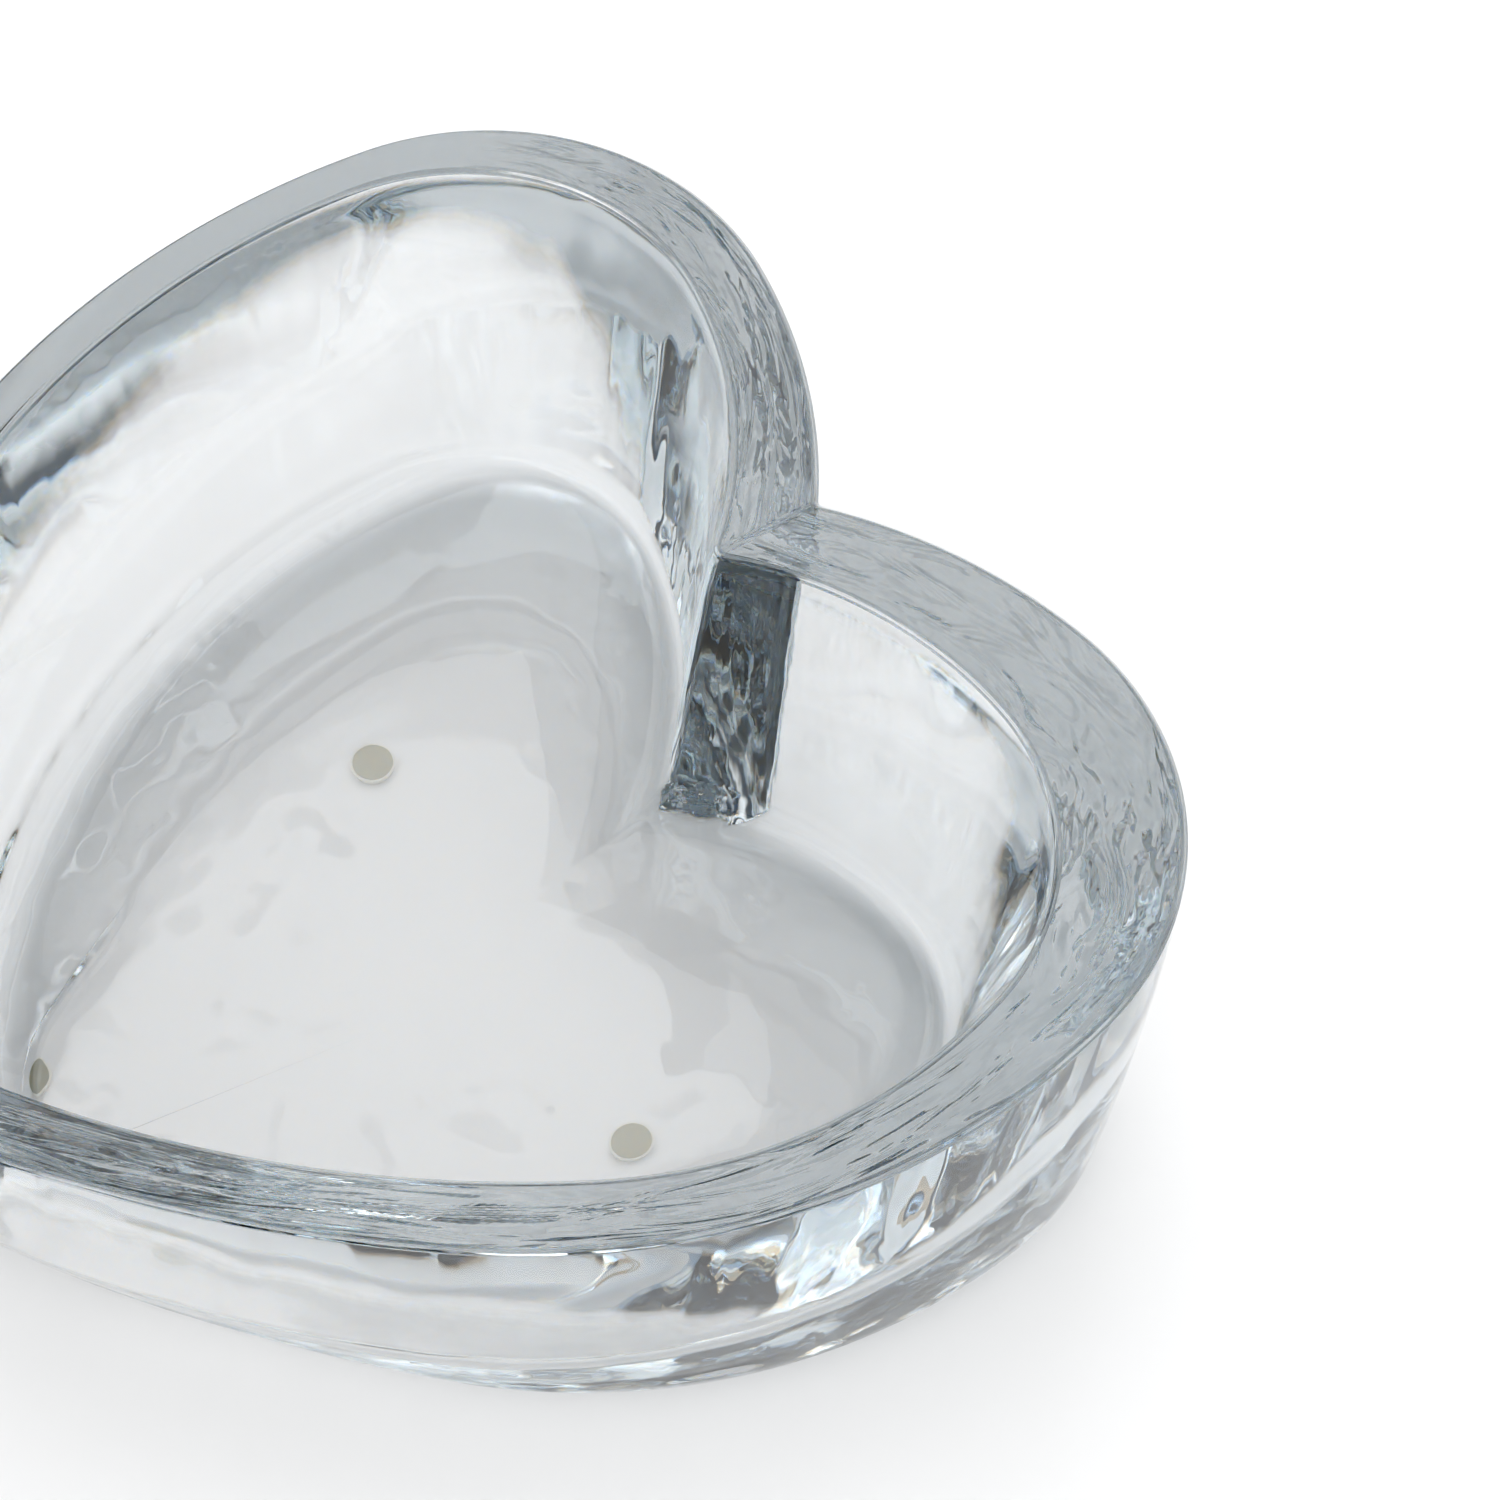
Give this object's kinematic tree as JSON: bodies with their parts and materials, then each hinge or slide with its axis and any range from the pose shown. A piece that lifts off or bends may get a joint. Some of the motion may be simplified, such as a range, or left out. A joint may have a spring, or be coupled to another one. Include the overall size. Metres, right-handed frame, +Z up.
{
  "type": "heart-shaped crystal bowl",
  "caption": "Heart-shaped bowl of thick clear glass with a flat polished rim, a rounded hollow and a cleft ridge, standing on small round bumper feet.",
  "frame": {"origin": "middle of the footprint, on the table that the feet stand on", "axes": "+Z up out of the bowl, -Y towards the heart's tip, +Y towards the cleft, +X towards the right lobe as seen from the tip"},
  "size_m": [0.2156, 0.2106, 0.0912],
  "materials": {
    "crystal": "polished",
    "bumper": "satin",
    "adhesive": "gloss"
  },
  "bodies": {
    "root": {"bowl": "crystal", "foot_left_lobe": "bumper", "foot_right_lobe": "bumper", "foot_left_tip": "bumper", "foot_right_tip": "bumper", "adhesive_left_lobe": "adhesive", "adhesive_right_lobe": "adhesive", "adhesive_left_tip": "adhesive", "adhesive_right_tip": "adhesive"}
  },
  "joints": []
}
